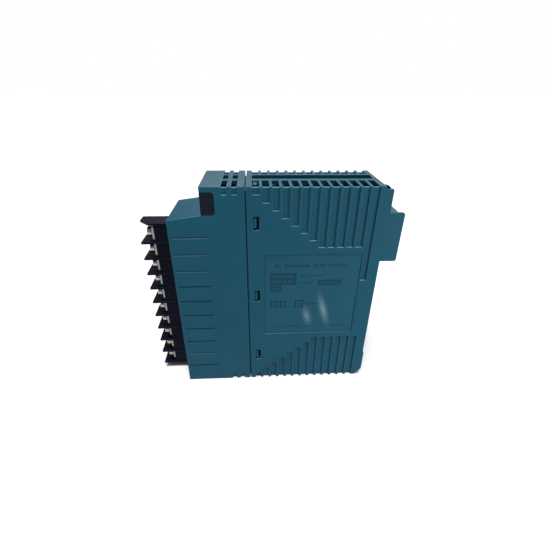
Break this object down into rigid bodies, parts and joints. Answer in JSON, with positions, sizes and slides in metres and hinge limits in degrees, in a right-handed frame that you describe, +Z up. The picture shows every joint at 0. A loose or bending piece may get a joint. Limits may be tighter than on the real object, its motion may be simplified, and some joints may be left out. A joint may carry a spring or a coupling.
{
  "type": "plc module",
  "caption": "Slim upright control-rack module: slotted two-part casing, barrier terminal block on its nose, smoked status window and shrouded rear bus connector.",
  "frame": {"origin": "middle of the underside of the overall box, on the surface that the module stands on", "axes": "+X out of the nameplate side (the module's width), +Y towards the rear connector, +Z up; the terminals face -Y"},
  "size_m": [0.035, 0.1432, 0.13],
  "materials": {
    "case_teal": "moulded, fine grain, semi-matt",
    "smoked_window": "smoked translucent, polished",
    "block_black": "moulded thermoset, semi-matt",
    "nameplate_film": "printed film",
    "screw_steel": "nickel plated",
    "washer_steel": "nickel plated, stamped",
    "contact_tin": "tin plated",
    "contact_gold": "gold flashed",
    "board_green": "solder resist",
    "lamp_red": "diffused epoxy",
    "relay_blue": "moulded box",
    "chip_black": "moulded epoxy",
    "ferrite": "sintered ferrite",
    "copper_wire": "enamelled copper wire",
    "capacitor_sleeve": "shrink sleeve",
    "sink_aluminium": "bead blasted",
    "can_steel": "drawn can",
    "fuse_glass": "glass tube with plated caps"
  },
  "bodies": {
    "module": {"rear_case": "case_teal", "front_cover": "case_teal", "status_window": "smoked_window", "lamp_mask": "chip_black", "status_lamps": "lamp_red", "status_board": "board_green", "board_link": "contact_gold", "terminal_block": "block_black", "terminal_contacts": "contact_tin", "block_screws": "screw_steel", "nameplate": "nameplate_film", "main_board": "board_green", "bus_connector": "chip_black", "bus_pins": "contact_gold", "relay_1": "relay_blue", "relay_2": "relay_blue", "relay_3": "relay_blue", "relay_4": "relay_blue", "optocouplers": "chip_black", "transformer_core": "ferrite", "transformer_winding": "copper_wire", "capacitors": "capacitor_sleeve", "controller_chip": "chip_black", "memory_chip": "chip_black", "regulator": "chip_black", "heat_sink": "sink_aluminium", "crystal": "can_steel", "fuse": "fuse_glass", "fuse_clips": "contact_tin", "rack_key": "block_black"},
    "clamp_1": {"clamp_washer_1": "washer_steel", "lock_washer_1": "washer_steel"},
    "screw_1": {"terminal_screw_1": "screw_steel"},
    "clamp_2": {"clamp_washer_2": "washer_steel", "lock_washer_2": "washer_steel"},
    "screw_2": {"terminal_screw_2": "screw_steel"},
    "clamp_3": {"clamp_washer_3": "washer_steel", "lock_washer_3": "washer_steel"},
    "screw_3": {"terminal_screw_3": "screw_steel"},
    "clamp_4": {"clamp_washer_4": "washer_steel", "lock_washer_4": "washer_steel"},
    "screw_4": {"terminal_screw_4": "screw_steel"},
    "clamp_5": {"clamp_washer_5": "washer_steel", "lock_washer_5": "washer_steel"},
    "screw_5": {"terminal_screw_5": "screw_steel"},
    "clamp_6": {"clamp_washer_6": "washer_steel", "lock_washer_6": "washer_steel"},
    "screw_6": {"terminal_screw_6": "screw_steel"},
    "clamp_7": {"clamp_washer_7": "washer_steel", "lock_washer_7": "washer_steel"},
    "screw_7": {"terminal_screw_7": "screw_steel"},
    "clamp_8": {"clamp_washer_8": "washer_steel", "lock_washer_8": "washer_steel"},
    "screw_8": {"terminal_screw_8": "screw_steel"},
    "clamp_9": {"clamp_washer_9": "washer_steel", "lock_washer_9": "washer_steel"},
    "screw_9": {"terminal_screw_9": "screw_steel"},
    "clamp_10": {"clamp_washer_10": "washer_steel", "lock_washer_10": "washer_steel"},
    "screw_10": {"terminal_screw_10": "screw_steel"}
  },
  "joints": [
    {"name": "clamp_1_lift", "type": "slide", "parent": "module", "child": "clamp_1", "axis": [0, -1, 0], "range_m": [0, 0.0024]},
    {"name": "screw_1_turn", "type": "hinge", "parent": "clamp_1", "child": "screw_1", "pos_m": [-0.0007, -0.0658, 0.09974], "axis": [0, -1, 0], "range_deg": [0, 1440]},
    {"name": "clamp_2_lift", "type": "slide", "parent": "module", "child": "clamp_2", "axis": [0, -1, 0], "range_m": [0, 0.0024]},
    {"name": "screw_2_turn", "type": "hinge", "parent": "clamp_2", "child": "screw_2", "pos_m": [-0.0007, -0.0658, 0.0897], "axis": [0, -1, 0], "range_deg": [0, 1440]},
    {"name": "clamp_3_lift", "type": "slide", "parent": "module", "child": "clamp_3", "axis": [0, -1, 0], "range_m": [0, 0.0024]},
    {"name": "screw_3_turn", "type": "hinge", "parent": "clamp_3", "child": "screw_3", "pos_m": [-0.0007, -0.0658, 0.07967], "axis": [0, -1, 0], "range_deg": [0, 1440]},
    {"name": "clamp_4_lift", "type": "slide", "parent": "module", "child": "clamp_4", "axis": [0, -1, 0], "range_m": [0, 0.0024]},
    {"name": "screw_4_turn", "type": "hinge", "parent": "clamp_4", "child": "screw_4", "pos_m": [-0.0007, -0.0658, 0.06964], "axis": [0, -1, 0], "range_deg": [0, 1440]},
    {"name": "clamp_5_lift", "type": "slide", "parent": "module", "child": "clamp_5", "axis": [0, -1, 0], "range_m": [0, 0.0024]},
    {"name": "screw_5_turn", "type": "hinge", "parent": "clamp_5", "child": "screw_5", "pos_m": [-0.0007, -0.0658, 0.05962], "axis": [0, -1, 0], "range_deg": [0, 1440]},
    {"name": "clamp_6_lift", "type": "slide", "parent": "module", "child": "clamp_6", "axis": [0, -1, 0], "range_m": [0, 0.0024]},
    {"name": "screw_6_turn", "type": "hinge", "parent": "clamp_6", "child": "screw_6", "pos_m": [-0.0007, -0.0658, 0.04958], "axis": [0, -1, 0], "range_deg": [0, 1440]},
    {"name": "clamp_7_lift", "type": "slide", "parent": "module", "child": "clamp_7", "axis": [0, -1, 0], "range_m": [0, 0.0024]},
    {"name": "screw_7_turn", "type": "hinge", "parent": "clamp_7", "child": "screw_7", "pos_m": [-0.0007, -0.0658, 0.03955], "axis": [0, -1, 0], "range_deg": [0, 1440]},
    {"name": "clamp_8_lift", "type": "slide", "parent": "module", "child": "clamp_8", "axis": [0, -1, 0], "range_m": [0, 0.0024]},
    {"name": "screw_8_turn", "type": "hinge", "parent": "clamp_8", "child": "screw_8", "pos_m": [-0.0007, -0.0658, 0.02952], "axis": [0, -1, 0], "range_deg": [0, 1440]},
    {"name": "clamp_9_lift", "type": "slide", "parent": "module", "child": "clamp_9", "axis": [0, -1, 0], "range_m": [0, 0.0024]},
    {"name": "screw_9_turn", "type": "hinge", "parent": "clamp_9", "child": "screw_9", "pos_m": [-0.0007, -0.0658, 0.01949], "axis": [0, -1, 0], "range_deg": [0, 1440]},
    {"name": "clamp_10_lift", "type": "slide", "parent": "module", "child": "clamp_10", "axis": [0, -1, 0], "range_m": [0, 0.0024]},
    {"name": "screw_10_turn", "type": "hinge", "parent": "clamp_10", "child": "screw_10", "pos_m": [-0.0007, -0.0658, 0.00946], "axis": [0, -1, 0], "range_deg": [0, 1440]}
  ],
  "couplings": [
    {"joint": "screw_1_turn", "follows": "clamp_1_lift", "rad_per_m": 10472},
    {"joint": "screw_2_turn", "follows": "clamp_2_lift", "rad_per_m": 10472},
    {"joint": "screw_3_turn", "follows": "clamp_3_lift", "rad_per_m": 10472},
    {"joint": "screw_4_turn", "follows": "clamp_4_lift", "rad_per_m": 10472},
    {"joint": "screw_5_turn", "follows": "clamp_5_lift", "rad_per_m": 10472},
    {"joint": "screw_6_turn", "follows": "clamp_6_lift", "rad_per_m": 10472},
    {"joint": "screw_7_turn", "follows": "clamp_7_lift", "rad_per_m": 10472},
    {"joint": "screw_8_turn", "follows": "clamp_8_lift", "rad_per_m": 10472},
    {"joint": "screw_9_turn", "follows": "clamp_9_lift", "rad_per_m": 10472},
    {"joint": "screw_10_turn", "follows": "clamp_10_lift", "rad_per_m": 10472}
  ]
}
